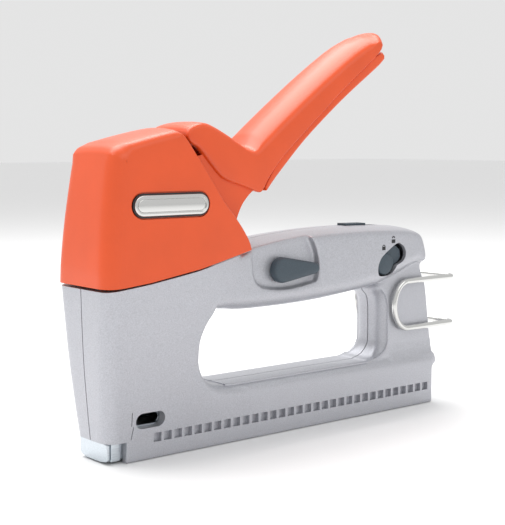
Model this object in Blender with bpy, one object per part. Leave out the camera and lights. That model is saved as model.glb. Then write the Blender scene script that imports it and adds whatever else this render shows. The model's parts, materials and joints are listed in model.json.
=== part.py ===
"""Hand-squeeze staple gun, built as an assembly of separate pieces.

Frame: +X runs from the steel nose to the rear, +Z is up, and the mid plane is Y = 0.
The origin is on the flat base, at the middle of the overall length.
Lengths are written in millimetres and turned to metres by MM. Along X they are written
from the first magazine window, which lies WINDOW_X from the origin.
"""

import math

import bmesh
import bpy
from mathutils import Matrix, Vector

MM = 0.001
WINDOW_X = -66.46

# Driving dimensions
GAP = 0.3
SEAM = 0.15
BASE_HALF = 11.3
HEAD_HALF_TOP = 17.3
HEAD_FOOT_Z = 7.7
COVER_LINE_Z = 63.0
COVER_HALF_LOW = 18.0
COVER_HALF_HIGH = 15.6
COVER_WALL = 2.3
COVER_CROWN = 1.6
GRIP_HALF = 14.2
GRIP_CROWN = 2.0
COLUMN_HALF = 9.5
MAGAZINE_FRONT = -15.0
MAGAZINE_REAR = 146.0
MAGAZINE_TOP = 22.0
WINDOW_PITCH = 4.6
WINDOW_LENGTH = 3.4
WINDOW_COUNT = 32
WINDOW_LOW_Z = 6.0
WINDOW_HIGH_Z = 9.4
WINDOW_DEPTH = 1.6
CAVITY_HALF = 8.4
LEVER_HALF = 12.3
LEVER_CROWN = 4.2
LEVER_WALL = 2.2
TIP_BOW = 4.4
LEVER_PIVOT = (21.0, 99.0)
KNOB_PIVOT = (55.5, 65.0)
KNOB_REACH = 19.0
SPRING_X = -9.0
STAPLE_WIDTH = 10.6
RAIL_HALF = 4.4
SCREW_RADIUS = 1.5
SCREW_HEAD = 2.8
POCKET_FLOOR = 11.4
GRIP_ROOM_HALF = 9.0
BADGE_CENTRE = (1.6, 92.1)
BADGE_HALF_LENGTH = 16.6
BADGE_RADIUS = 4.3
LOCK_LOW = (113.4, 63.4)
LOCK_HIGH = (120.4, 67.2)
WIRE_RADIUS = 1.25
# Body screws: x, z and the height of the head above the mid plane
BODY_SCREWS = [(-8.0, 26.0, 12.2), (10.0, 46.0, 14.0), (90.0, 65.0, 12.6), (124.0, 23.0, 8.6)]
COVER_SCREWS = [(-12.0, 74.0), (24.0, 82.0)]
SEAT_PINS = [(-16.1, 79.2), (-0.8, 79.2)]
ROCKER_PIVOT = (6.6, 62.3)
SHARP_ANGLE = math.radians(35)
CAM_OFFSET = 2.2
CAM_RADIUS = 4.0
CAM_ANGLE = math.radians(-160)


def metres(x, y, z):
    return Vector((x + WINDOW_X, y, z)) * MM


def arc(centre, radius, start, end, steps):
    """Points (x, z) on an arc, with its angles in degrees."""
    turn = [math.radians(start + (end - start) * i / steps) for i in range(steps + 1)]
    return [(centre[0] + radius * math.cos(a), centre[1] + radius * math.sin(a)) for a in turn]


def material(name, colour, roughness, metallic=0.0):
    made = bpy.data.materials.new(name)
    made.use_nodes = True
    shader = made.node_tree.nodes["Principled BSDF"]
    shader.inputs["Base Color"].default_value = (*colour, 1.0)
    shader.inputs["Roughness"].default_value = roughness
    shader.inputs["Metallic"].default_value = metallic
    return made


def add_object(name, bm, finish=None):
    bmesh.ops.recalc_face_normals(bm, faces=bm.faces)
    mesh = bpy.data.meshes.new(name)
    bm.to_mesh(mesh)
    bm.free()
    obj = bpy.data.objects.new(name, mesh)
    bpy.context.scene.collection.objects.link(obj)
    if finish:
        mesh.materials.append(finish)
        mesh.shade_smooth()
        mesh.set_sharp_from_angle(angle=SHARP_ANGLE)
    return obj


def loft(name, outline, stations, finish=None):
    """A solid between rings of one outline. Each station is (y, place), where place turns an
    outline point (x, z) and y into the ring's own (x, y, z)."""
    bm = bmesh.new()
    rings = [[bm.verts.new(metres(*place(x, y, z))) for x, z in outline] for y, place in stations]
    count = len(outline)
    for near, far in zip(rings, rings[1:]):
        for i in range(count):
            j = (i + 1) % count
            bm.faces.new((near[i], near[j], far[j], far[i]))
    bm.faces.new(rings[0])
    bm.faces.new(rings[-1])
    return add_object(name, bm, finish)


def slab(name, outline, y_low, y_high, finish=None):
    """An outline in XZ, extruded along Y."""
    stay = lambda x, y, z: (x, y, z)
    return loft(name, outline, [(y_low, stay), (y_high, stay)], finish)


def block(name, x, y, z, finish=None):
    """A box between pairs of limits."""
    outline = [(x[0], z[0]), (x[1], z[0]), (x[1], z[1]), (x[0], z[1])]
    return slab(name, outline, y[0], y[1], finish)


def rod_y(name, centre, radius, y_low, y_high, finish=None, steps=20):
    return slab(name, arc(centre, radius, 0, 360 - 360 / steps, steps - 1), y_low, y_high, finish)


def hide(obj):
    obj.hide_render = True
    obj.display_type = "WIRE"


def boolean(obj, other, operation):
    step = obj.modifiers.new(operation.title(), "BOOLEAN")
    step.operation = operation
    step.object = other
    hide(other)
    return obj


def cut(obj, *cutters):
    for cutter in cutters:
        boolean(obj, cutter, "DIFFERENCE")
    return obj


def join(obj, *others):
    for other in others:
        boolean(obj, other, "UNION")
    return obj


def round_edges(obj, width, segments=2, angle=35):
    step = obj.modifiers.new("Bevel", "BEVEL")
    step.width = width * MM
    step.segments = segments
    step.limit_method = "ANGLE"
    step.angle_limit = math.radians(angle)
    return obj


def put_origin(obj, x, y, z):
    """Moves a moving piece's origin to its joint's axis, and leaves the piece in place."""
    point = metres(x, y, z)
    obj.data.transform(Matrix.Translation(-point))
    obj.location = point
    return obj


def sweep(name, points, radius, finish, resolution=2, cyclic=False):
    """A round wire along points given in (x, y, z)."""
    curve = bpy.data.curves.new(name, "CURVE")
    curve.dimensions = "3D"
    curve.bevel_depth = radius * MM
    curve.bevel_resolution = resolution
    curve.use_fill_caps = True
    spline = curve.splines.new("POLY")
    spline.points.add(len(points) - 1)
    spline.use_cyclic_u = cyclic
    for target, point in zip(spline.points, points):
        target.co = (*metres(*point), 1.0)
    curve.materials.append(finish)
    obj = bpy.data.objects.new(name, curve)
    bpy.context.scene.collection.objects.link(obj)
    return obj


def coil(name, start, along, length, radius, wire, turns, finish, per_turn=12):
    """A helix of wire, whose axis runs from start along X, Y or Z."""
    across, up = {"X": ("Y", "Z"), "Y": ("X", "Z"), "Z": ("X", "Y")}[along]
    index = {"X": 0, "Y": 1, "Z": 2}
    points = []
    for i in range(int(turns * per_turn) + 1):
        angle = 2 * math.pi * i / per_turn
        point = list(start)
        point[index[along]] += wire + (length - 2 * wire) * i / (turns * per_turn)
        point[index[across]] += radius * math.cos(angle)
        point[index[up]] += radius * math.sin(angle)
        points.append(point)
    return sweep(name, points, wire, finish, 1)


# Outlines in (x, z), shared by several pieces

BODY_TOP = [
    (47.0, 74.4), (54.0, 75.2), (65.0, 76.3), (77.0, 77.2), (92.0, 77.7),
    (110.0, 77.3), (123.0, 76.4), (135.0, 75.3), (140.0, 73.2),
]
HEAD_FRONT = [(-23.1, HEAD_FOOT_Z), (-24.0, 17.4), (-25.3, 34.6), (-25.9, 50.0), (-26.1, 62.0)]
FINGER_OPENING = [
    (106.4, 22.2), (111.6, 23.3), (114.6, 25.5), (116.2, 28.2), (116.6, 32.0), (116.6, 45.4),
    (115.3, 49.0), (112.8, 51.8), (108.4, 53.8), (97.5, 53.3), (87.5, 52.3), (76.5, 51.4),
    (62.0, 50.6), (45.0, 50.6), (29.0, 52.0), (22.4, 50.9), (18.2, 47.2), (16.2, 42.5), (15.7, 37.5), (16.6, 32.0),
    (18.9, 27.4), (22.4, 24.0), (28.0, 22.0),
]
COLUMN_REAR = [(150.3, 18.2), (147.4, 24.0), (145.2, 37.0), (142.9, 52.0), (140.6, 60.0)]


def head_half(z):
    """Half the head's width: it grows from the base up to the cover."""
    return BASE_HALF + (HEAD_HALF_TOP - BASE_HALF) * max(0.0, z - HEAD_FOOT_Z) / 55.0


def inset(outline, distance):
    """The outline moved inwards by a distance, corner by corner."""
    count = len(outline)
    area = sum(outline[i - 1][0] * outline[i][1] - outline[i][0] * outline[i - 1][1]
               for i in range(count))
    turn = 1.0 if area > 0 else -1.0
    moved = []
    for i in range(count):
        here = Vector(outline[i])
        before = (here - Vector(outline[i - 1])).normalized()
        after = (Vector(outline[(i + 1) % count]) - here).normalized()
        normal = Vector((-before.y - after.y, before.x + after.x)).normalized() * turn
        stretch = max(0.5, normal.dot(Vector((-before.y, before.x)) * turn))
        moved.append(tuple(here + normal * distance / stretch))
    return moved


def rounded_half(name, outline, side, half, corner, finish=None, crown=0.0):
    """A half solid from the seam out to the side, whose outer rim is rounded off. Points in the
    upper part rise by the crown towards the seam."""
    bm = bmesh.new()
    rings = []
    for depth, reach in ((0.0, None), (0.0, corner), (0.3, 0.3 * corner), (1.0, 0.0)):
        ring = []
        for x, z in inset(outline, depth * corner):
            width = SEAM if reach is None else half(z) - reach
            rise = crown if reach is None and z > 70.0 else 0.0
            ring.append(bm.verts.new(metres(x, side * width, z + rise)))
        rings.append(ring)
    count = len(outline)
    for near, far in zip(rings, rings[1:]):
        for i in range(count):
            j = (i + 1) % count
            bm.faces.new((near[i], near[j], far[j], far[i]))
    bm.faces.new(rings[0])
    bm.faces.new(rings[-1])
    return add_object(name, bm, finish)


def body_shell(name, side, finish):
    """Half of the die-cast body: head, tower under the cover, grip, column and magazine."""
    under_cover = [(34.0, 71.8), (13.6, 67.7), (-8.3, 64.4), (-19.2, 63.2)]
    head = HEAD_FRONT + under_cover[::-1] + [(44.0, 73.6), (44.0, 45.0), (40.0, 20.0), (-12.0, 7.7)]
    grip = [(28.0, 46.0), (28.0, 66.0), (39.0, 70.6)] + BODY_TOP
    grip += [(141.0, 68.0), (139.6, 62.6), (134.0, 62.2), (126.0, 59.6), (118.0, 57.0), (109.0, 54.2),
             (100.0, 50.0), (60.0, 47.0)]
    shell = rounded_half(name, head, side, head_half, 5.0, finish)
    pieces = [
        rounded_half(name + "_grip", grip, side, lambda z: GRIP_HALF, 3.2, finish, GRIP_CROWN),
        slab(name + "_column", [(104.0, 15.0)] + COLUMN_REAR + [(104.0, 60.0)],
             side * SEAM, side * COLUMN_HALF),
        block(name + "_magazine", (MAGAZINE_FRONT, MAGAZINE_REAR), sorted_pair(side, SEAM, BASE_HALF),
              (0.0, MAGAZINE_TOP - 0.1)),
        block(name + "_tower", (-19.2, 4.0), sorted_pair(side, SEAM, 10.9), (55.0, 103.0)),
        slab(name + "_ear", [(2.0, 60.0), (24.0, 65.0), (25.5, 98.0), (23.5, 103.0), (15.0, 103.5),
                             (2.0, 98.0)], side * 6.2, side * 8.8),
    ]
    join(shell, *pieces)
    inner = sorted_pair(side, -1.0, CAVITY_HALF)
    ear_gap = sorted_pair(side, -1.0, 6.2)
    grip_room = [(2.0, 58.0), (30.0, 57.0), (60.0, 54.5), (90.0, 56.5), (108.0, 58.0), (136.0, 63.0),
                 (136.0, 71.0), (100.0, 74.0), (60.0, 72.0), (36.0, 69.2), (2.0, 64.0)]
    cutters = [
        slab(name + "_opening", FINGER_OPENING, -40.0, 40.0),
        block(name + "_blade_slot", (-21.6, -17.9), inner, (0.5, 36.0)),
        block(name + "_head_room", (-21.6, 5.0), inner, (35.0, 68.0)),
        block(name + "_tower_room", (-17.9, 1.6), inner, (59.0, 112.0)),
        block(name + "_tower_slot", (-16.0, 10.0), ear_gap, (58.0, 113.0)),
        slab(name + "_grip_room", grip_room, side * -1.0, side * GRIP_ROOM_HALF),
        block(name + "_column_room", (119.5, 137.0), sorted_pair(side, -1.0, 6.9), (12.0, 63.5)),
        block(name + "_channel_room", (-21.6, 160.0), inner, (-1.0, 17.8)),
        rod_y(name + "_pivot_hole", LEVER_PIVOT, 2.8, -15.0, 15.0),
        rod_y(name + "_seat_hole_front", SEAT_PINS[0], 1.5, -15.0, 15.0, None, 10),
        rod_y(name + "_seat_hole_rear", SEAT_PINS[1], 1.5, -15.0, 15.0, None, 10),
        rod_y(name + "_rocker_hole", ROCKER_PIVOT, 1.7, -11.0, 11.0, None, 12),
        slab(name + "_oval", stadium((-4.4, 14.3), 6.35, 2.75), side * 6.0, side * 30.0),
        block(name + "_catch_slot", (99.0, 120.5), sorted_pair(side, -1.0, 2.9), (68.0, 90.0)),
    ]
    cutters += window_cutters(name, side)
    cut(shell, *cutters)
    bosses = [rod_y(f"{name}_boss_{i}", (x, z), 3.4, side * SEAM, side * min(9.3, y - 1.0), None, 14)
              for i, (x, z, y) in enumerate(BODY_SCREWS) if i > 1]
    join(shell, *bosses)
    return shell


def sorted_pair(side, near, far):
    return tuple(sorted((side * near, side * far)))


def stadium(centre, half_length, radius, steps=8):
    """A slot's outline, with round ends, along X."""
    reach = half_length - radius
    return (arc((centre[0] + reach, centre[1]), radius, -90, 90, steps)
            + arc((centre[0] - reach, centre[1]), radius, 90, 270, steps))


def window_cutters(name, side):
    """One comb-shaped cutter for the whole row of blind windows."""
    pair = sorted_pair(side, BASE_HALF - WINDOW_DEPTH, 30.0)
    made = []
    for i in range(WINDOW_COUNT):
        right = i * WINDOW_PITCH
        made.append(block(f"{name}_window_{i}", (right - WINDOW_LENGTH, right), pair,
                          (WINDOW_LOW_Z, WINDOW_HIGH_Z)))
    return made


def left_openings(shell):
    """What only the near half has: the selector's pocket and shaft hole, and the lock's slot."""
    pocket = [(40.5, 80.5), (40.5, 65.0), (42.5, 60.5), (47.0, 58.2), (57.0, 57.3), (66.0, 58.0)]
    pocket += arc(KNOB_PIVOT, KNOB_REACH + 0.6, -16, 42, 8) + [(68.0, 80.5)]
    slot = capsule(LOCK_LOW, LOCK_HIGH, 5.0)
    cut(shell,
        slab("selector_pocket", pocket, -30.0, -POCKET_FLOOR),
        rod_y("selector_hole", KNOB_PIVOT, 2.8, -20.0, 0.0),
        slab("lock_slot", slot, -30.0, -5.0))
    for i, (x, z, _) in enumerate(BODY_SCREWS):
        cut(shell, rod_y(f"thread_{i}", (x, z), SCREW_RADIUS + GAP, -7.6, 1.0, None, 10))


def right_openings(shell):
    """What only the far half has: the counterbored screw holes."""
    for i, (x, z, y) in enumerate(BODY_SCREWS):
        cut(shell,
            rod_y(f"screw_hole_{i}", (x, z), SCREW_RADIUS + GAP, -1.0, 40.0, None, 10),
            rod_y(f"counterbore_{i}", (x, z), SCREW_HEAD + GAP, y - 2.0 - GAP, 40.0, None, 14))
    for i, (x, z) in enumerate(COVER_SCREWS):
        cut(shell, rod_y(f"cover_thread_{i}", (x, z), SCREW_RADIUS + GAP, 7.0, 40.0, None, 10))


def capsule(low, high, radius, steps=8):
    """An outline with round ends, from one centre to another."""
    tilt = math.degrees(math.atan2(high[1] - low[1], high[0] - low[0]))
    return (arc(high, radius, tilt - 90, tilt + 90, steps)
            + arc(low, radius, tilt + 90, tilt + 270, steps))


def screw(name, x, z, y_tip, y_top, finish):
    """A cross-recessed pan-head screw along Y, whose head is at y_top."""
    shank = rod_y(name, (x, z), SCREW_RADIUS, y_tip, y_top - 1.5, finish, 10)
    join(shank, rod_y(name + "_head", (x, z), SCREW_HEAD, y_top - 2.0, y_top, None, 14))
    reach = SCREW_HEAD * 0.6
    deep = (y_top - 1.0, y_top + 1.0)
    return cut(shank, block(name + "_cross_a", (x - reach, x + reach), deep, (z - 0.35, z + 0.35)),
               block(name + "_cross_b", (x - 0.35, x + 0.35), deep, (z - reach, z + reach)))


def plate_x(name, outline, x_low, x_high, finish=None):
    """An outline in YZ, extruded along X."""
    bm = bmesh.new()
    face = bm.faces.new([bm.verts.new(metres(x_low, y, z)) for y, z in outline])
    grown = bmesh.ops.extrude_face_region(bm, geom=[face])["geom"]
    corners = [item for item in grown if isinstance(item, bmesh.types.BMVert)]
    bmesh.ops.translate(bm, verts=corners, vec=Vector((x_high - x_low, 0, 0)) * MM)
    return add_object(name, bm, finish)


COVER_FRONT = [(-26.6, 63.4), (-26.2, 72.5), (-24.7, 87.0), (-22.7, 102.0), (-21.6, 109.0)]
COVER_TOP = [(-19.0, 112.0), (-14.7, 113.4), (-6.4, 115.4), (1.0, 117.0), (6.4, 118.0)]
COVER_REAR = [(9.9, 115.3), (15.4, 107.5), (21.2, 99.5), (25.5, 92.9), (31.4, 86.8), (36.5, 79.8),
              (38.9, 74.0)]
COVER_FOOT = [(13.6, 68.6), (-8.3, 65.2), (-19.2, 64.0)]


def cover_half(z):
    share = (z - 64.0) / 50.0
    return COVER_HALF_LOW + (COVER_HALF_HIGH - COVER_HALF_LOW) * share


def head_cover(finish):
    """The moulded cover over the spring tower: open below, and at the rear for the lever."""
    outline = COVER_FRONT + COVER_TOP + COVER_REAR + COVER_FOOT
    corner = 6.0

    def station(share):
        def place(x, y, z):
            width = cover_half(z)
            over = max(0.0, abs(share) * width - (width - corner))
            pull = corner - math.sqrt(max(0.0, corner ** 2 - over ** 2))
            front = max(0.0, min(1.0, (-14.0 - x) / 6.0))
            rise = COVER_CROWN * (1.0 - abs(share) ** 2.5) if z > 111.0 and x < 8.0 else 0.0
            drop = 1.4 * max(0.0, abs(share) - 0.9) / 0.1 if z > 111.0 and x < 8.0 else 0.0
            return x + pull * front, share * width, z + rise - drop
        return (0.0, place)

    shares = [-1.0, -0.97, -0.9, -0.75, -0.4, 0.0, 0.4, 0.75, 0.9, 0.97, 1.0]
    cover = loft("head_cover", outline, [station(s) for s in shares], finish)
    inner = [(-23.6, 50.0), (-23.4, 72.5), (-22.0, 87.0), (-20.2, 101.0), (-19.4, 108.0),
             (-16.6, 110.4), (-6.0, 113.0), (8.0, 116.2), (20.0, 125.0), (60.0, 125.0), (60.0, 50.0)]

    def inside(side):
        return (0.0, lambda x, y, z: (x, side * (cover_half(z) - COVER_WALL), z))

    cut(cover, loft("cover_room", inner, [inside(-1.0), inside(1.0)]))
    for side in (-1, 1):
        cut(cover, slab(f"badge_recess_{side}", badge_outline(0.5), side * 16.0, side * 30.0))
    for i, (x, z) in enumerate(COVER_SCREWS):
        join(cover, rod_y(f"cover_boss_{i}", (x, z), 3.2, 11.3, cover_half(z) - 1.0, None, 14))
    for i, (x, z) in enumerate(COVER_SCREWS):
        cut(cover,
            rod_y(f"cover_hole_{i}", (x, z), SCREW_RADIUS + GAP, 0.0, 30.0, None, 10),
            rod_y(f"cover_counterbore_{i}", (x, z), SCREW_HEAD + GAP, 14.2, 30.0, None, 14))
    return cover


def badge_outline(grow):
    return stadium(BADGE_CENTRE, BADGE_HALF_LENGTH + grow, BADGE_RADIUS + grow)


LEVER_TOP = [(12.4, 117.0), (14.6, 119.4), (19.0, 121.0), (23.5, 120.2), (30.0, 117.2), (36.0, 113.8),
             (40.5, 111.0), (43.8, 109.8), (47.0, 111.8), (56.0, 119.0), (68.0, 128.2), (80.0, 137.2),
             (92.0, 145.2), (100.0, 150.2), (106.0, 153.4)]
LEVER_TIP = [(110.0, 155.1), (111.6, 154.2), (110.0, 151.2)]
LEVER_LIP = [(107.4, 148.9), (99.7, 142.9), (88.6, 134.5), (77.8, 125.6), (67.2, 116.9), (56.9, 108.0),
             (49.0, 98.8)]
LEVER_HEEL = [(47.6, 95.3), (38.1, 97.6), (28.8, 100.9), (23.1, 105.4), (16.8, 112.8), (13.2, 115.6)]
STRIP_FOOT = [(49.9, 95.2), (53.6, 99.1), (58.7, 104.3), (69.0, 114.2), (79.6, 123.0), (90.5, 131.4),
              (101.7, 139.4), (109.6, 145.2), (113.0, 148.3)]


def lever_cover(finish):
    """The lever's outer shell: an inverted channel with a crowned top and a humped front end."""
    outline = LEVER_TOP + LEVER_TIP + LEVER_LIP + LEVER_HEEL
    crest = LEVER_TOP[2:] + LEVER_TIP[:1]

    def station(share):
        def place(x, y, z):
            rise = LEVER_CROWN * (1.0 - abs(share) ** 3) if (x, z) in crest else 0.0
            bow = TIP_BOW * (1.0 - share ** 2) if x > 108.0 else 0.0
            return x + bow, share * LEVER_HALF, z + rise + 0.36 * bow
        return (0.0, place)

    shares = [-1.0, -0.9, -0.62, 0.0, 0.62, 0.9, 1.0]
    cover = loft("lever_cover", outline, [station(s) for s in shares], finish)
    room = [(14.0, 112.0), (19.0, 115.2), (29.0, 112.2), (43.6, 106.4), (47.6, 109.0), (68.0, 125.0),
            (92.0, 142.2), (106.0, 150.6), (108.6, 150.0), (122.0, 140.0), (60.0, 85.0), (10.0, 85.0),
            (2.0, 100.0)]
    wide = LEVER_HALF - LEVER_WALL
    cut(cover, slab("lever_room", room, -wide, wide))
    cheek = [(44.6, 96.8), (44.0, 99.0), (30.0, 104.0), (20.0, 110.0), (14.0, 108.0), (17.0, 95.0),
             (23.0, 88.6)]
    near_foot = [(30.4, 83.4), (34.0, 82.2), (36.6, 88.0), (41.4, 94.4)]
    far_foot = [(29.5, 88.4), (36.0, 92.0), (41.4, 94.4)]
    join(cover, slab("cheek_left", cheek + near_foot, -11.0, -9.7),
         slab("cheek_right", cheek + far_foot, 9.7, 11.0))
    return pivoted(cover)


def pivoted(obj):
    return put_origin(obj, LEVER_PIVOT[0], 0.0, LEVER_PIVOT[1])


LEVER_CORE = [(-6.5, 85.0), (2.0, 84.0), (14.0, 90.0), (24.0, 91.0), (32.0, 95.5), (45.0, 101.0),
              (62.0, 112.6), (90.0, 136.0), (88.0, 138.8), (59.0, 116.6), (43.0, 105.5),
              (33.0, 107.5), (22.0, 107.5), (13.0, 103.0), (3.0, 89.9), (-6.5, 89.0)]


def lever_pieces(orange, steel):
    lever_cover(orange)
    strip = STRIP_FOOT + [(x + 0.25, z - 0.3) for x, z in LEVER_LIP[:-1]] + [(50.6, 99.6)]
    pivoted(slab("lever_strip", strip, -11.2, 11.2, orange))
    web = [(27.0, 89.5), (27.0, 103.5), (46.0, 103.5), (48.6, 98.0), (44.2, 93.0), (42.0, 90.0),
           (40.1, 85.9), (36.5, 82.5), (31.0, 84.0)]
    web = slab("lever_web", web, -4.8, 4.8, orange)
    slot = [(20.0, 90.5), (24.2, 90.6), (32.2, 95.1), (45.2, 100.6), (62.0, 114.0), (60.0, 125.0),
            (20.0, 125.0)]
    pivoted(cut(web, slab("web_slot", slot, -3.5, 3.5)))
    core = slab("lever_core", LEVER_CORE, -3.2, 3.2, steel)
    pivoted(cut(core, rod_y("core_hole", LEVER_PIVOT, 2.8, -20.0, 20.0)))
    rod_y("lever_pivot_pin", LEVER_PIVOT, 2.5, -9.4, 9.4, steel)
    turns = [(21.0 + 4.6 * math.cos(a), 3.9 + 1.5 * i / 30.0, 99.0 + 4.6 * math.sin(a))
             for i, a in ((i, math.radians(24 * i + 90)) for i in range(31))]
    sweep("lever_spring", turns + [(13.0, 5.5, 103.8)], 0.4, steel, 1)


def striker_pieces(steel, rubber):
    """The blade, its carrier, the spring and what the spring rests on."""
    half = CAVITY_HALF - 0.5
    carrier = plate_x("striker_carrier", [(-half, 44.0), (half, 44.0), (half, 93.0), (-half, 93.0)],
                      -13.0, -4.0, steel)
    join(carrier, block("carrier_foot", (-17.6, -3.0), (-half, half), (44.0, 50.0)))
    hole = arc((0.0, 47.0), 1.8, 0, 330, 11)
    cut(carrier, block("carrier_window", (-30.0, 10.0), (-6.3, 6.3), (50.2, 89.4)),
        plate_x("carrier_pin_hole", hole, -30.0, -11.0))
    blade = block("driver_blade", (-19.3, -18.2), (-5.3, 5.3), (1.2, 49.5), steel)
    cut(blade, plate_x("blade_pin_hole", hole, -30.0, -10.0))
    pin = plate_x("blade_pin", arc((0.0, 47.0), 1.5, 0, 330, 11), -20.4, -11.4, steel)
    for piece in (carrier, blade, pin):
        put_origin(piece, SPRING_X, 0.0, 44.0)
    coil("main_spring", (SPRING_X, 0.0, 50.5), "Z", 26.9, 4.5, 0.85, 4.5, steel, 14)
    seat = block("spring_seat", (-17.5, 1.3), (-5.9, 5.9), (77.7, 80.7), steel)
    for i, (x, z) in enumerate(SEAT_PINS):
        cut(seat, rod_y(f"seat_bore_{i}", (x, z), 1.1 + 0.1, -20.0, 20.0, None, 10))
        rod_y(f"seat_pin_{('front', 'rear')[i]}", (x, z), 1.0, -10.6, 10.6, steel, 10)
    round_edges(block("recoil_bumper", (-17.4, 4.4), (-7.9, 7.9), (35.4, 43.6), rubber), 0.8)


def nose_and_magazine(steel, staple_finish):
    plate = [(-7.4, 34.0), (-7.4, 2.6), (-5.6, 0.9), (5.6, 0.9), (7.4, 2.6), (7.4, 34.0)]
    plate = plate_x("nose_plate", plate, -21.3, -19.6, steel)
    foot = [(-9.1, 7.3), (-9.1, 1.9), (-8.1, 0.9), (8.1, 0.9), (9.1, 1.9), (9.1, 7.3)]
    join(plate, plate_x("nose_foot", foot, -22.0, -20.7))
    channel = block("magazine_channel", (-17.5, 140.0), (-8.1, 8.1), (0.9, 17.5), steel)
    cut(channel, block("channel_inside", (-30.0, 160.0), (-7.1, 7.1), (-1.0, 16.5)),
        slab("channel_oval", stadium((-4.4, 14.3), 5.6, 2.0), -20.0, 20.0))
    for side in (-1, 1):
        join(channel, block(f"nose_guide_{side}", (-19.9, -16.3), sorted_pair(side, 7.6, 9.1), (0.9, 7.3)))
    rail = block("magazine_rail", (-17.2, 141.0), (-RAIL_HALF, RAIL_HALF), (1.2, 10.5), steel)
    cut(rail, block("rail_inside", (-16.0, 160.0), (-3.6, 3.6), (2.0, 20.0)))
    half = STAPLE_WIDTH / 2
    strip = block("staple_strip", (-17.2, 40.0), (-half, half), (2.2, 11.6), staple_finish)
    cut(strip, block("staple_inside", (-30.0, 60.0), (-4.7, 4.7), (-1.0, 10.8)))
    pusher = block("staple_pusher", (40.6, 52.0), (-half, half), (2.2, 14.0), steel)
    cut(pusher, block("pusher_inside", (20.0, 60.0), (-4.7, 4.7), (-1.0, 10.8)))
    join(pusher, block("pusher_tab", (41.2, 44.0), (-0.9, 0.9), (4.5, 12.0)))
    cap = block("rail_end_cap", (141.3, 145.4), (-8.0, 8.0), (0.6, 17.0), steel)
    round_edges(cap, 0.6)
    clip = block("rail_clip", (126.0, 140.6), (-6.8, 6.8), (3.0, 12.0), steel)
    cut(clip, block("clip_inside", (120.0, 150.0), (-6.0, 6.0), (-1.0, 11.0)))
    coil("pusher_spring", (-15.0, 0.0, 6.3), "X", 55.6, 2.2, 0.3, 16, steel, 8)
    for name in ("magazine_rail", "rail_end_cap", "rail_clip"):
        put_origin(bpy.data.objects[name], 141.0, 0.0, 6.0)
    put_origin(pusher, 40.6, 0.0, 6.0)


def selector_pieces(plastic, steel):
    """The power selector: a knob on a cam shaft, and the rocker whose long arm the cam presses."""
    knob = arc(KNOB_PIVOT, 5.0, 75, 285, 10)
    tip = (KNOB_PIVOT[0] + KNOB_REACH - 2.4, KNOB_PIVOT[1] - 0.3)
    knob += arc(tip, 2.4, -80, 80, 6)
    knob = slab("power_knob", knob, -16.2, -POCKET_FLOOR - GAP, plastic)
    cut(knob, rod_y("knob_bore", KNOB_PIVOT, 2.8, -14.2, 0.0))
    shaft = rod_y("power_shaft", KNOB_PIVOT, 2.5, -13.9, 6.0, steel)
    cam = (KNOB_PIVOT[0] + CAM_OFFSET * math.cos(CAM_ANGLE),
           KNOB_PIVOT[1] + CAM_OFFSET * math.sin(CAM_ANGLE))
    join(shaft, rod_y("power_cam", cam, CAM_RADIUS, -3.5, 3.5))
    for piece in (knob, shaft):
        put_origin(piece, KNOB_PIVOT[0], 0.0, KNOB_PIVOT[1])
    rocker = [(3.4, 60.2), (8.0, 59.4), (30.0, 58.2), (60.0, 56.3), (60.0, 59.2), (30.0, 61.9),
              (9.0, 64.4), (6.4, 68.0), (6.2, 79.6), (3.6, 79.6), (3.0, 64.0)]
    rocker = slab("power_rocker", rocker, -2.5, 2.5, steel)
    cut(rocker, rod_y("rocker_bore", ROCKER_PIVOT, 1.6, -20.0, 20.0, None, 12))
    put_origin(rocker, ROCKER_PIVOT[0], 0.0, ROCKER_PIVOT[1])
    rod_y("rocker_pin", ROCKER_PIVOT, 1.4, -10.6, 10.6, steel, 12)


def lock_pieces(plastic, steel):
    """The storage lock: a thumb button, its link and the catch in the top of the grip."""
    button = round_edges(rod_y("lock_button", LOCK_LOW, 4.6, -13.3, -8.9, plastic), 0.7)
    link = slab("lock_link", [(103.5, 61.0), (117.4, 61.9), (117.4, 67.0), (103.5, 67.0)], -8.6, -6.5,
                steel)
    catch = slab("lock_catch", [(103.5, 62.0), (110.5, 62.0), (110.5, 77.6), (112.0, 78.6),
                                (112.0, 80.3), (100.4, 80.5), (100.4, 78.6), (103.5, 77.0)],
                 -2.5, 2.5, steel)
    join(catch, block("catch_arm", (104.0, 110.0), (-6.2, 0.0), (62.5, 66.5)))
    for piece in (button, link, catch):
        put_origin(piece, LOCK_LOW[0], 0.0, LOCK_LOW[1])


def wire_bail(finish):
    """One closed loop of spring wire: a C against each face of the column, joined behind it."""
    side = WIRE_RADIUS + COLUMN_HALF + 0.5
    middle, reach, tall = (129.4, 44.8), 8.2, 10.2
    end = 158.3
    bend = 2.2
    near = [(end - bend, -side, middle[1] + tall)]
    near += [(middle[0] - reach * math.sin(math.radians(a)), -side,
              middle[1] + tall * math.cos(math.radians(a))) for a in range(0, 181, 15)]
    near += [(end - bend, -side, middle[1] - tall)]
    turn = [(end - 0.6, -side + 0.6, middle[1] - tall), (end, -side + bend, middle[1] - tall)]
    points = near + turn
    points += [(x, -y, z) for x, y, z in points[::-1]]
    points += [(end, side - bend, middle[1] + tall), (end, -side + bend, middle[1] + tall)]
    start = (end - 0.6, -side + 0.6, middle[1] + tall)
    far = (end - 0.6, side - 0.6, middle[1] + tall)
    points.insert(-2, far)
    return sweep("wire_bail", points + [start], WIRE_RADIUS, finish, 2, cyclic=True)


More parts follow.
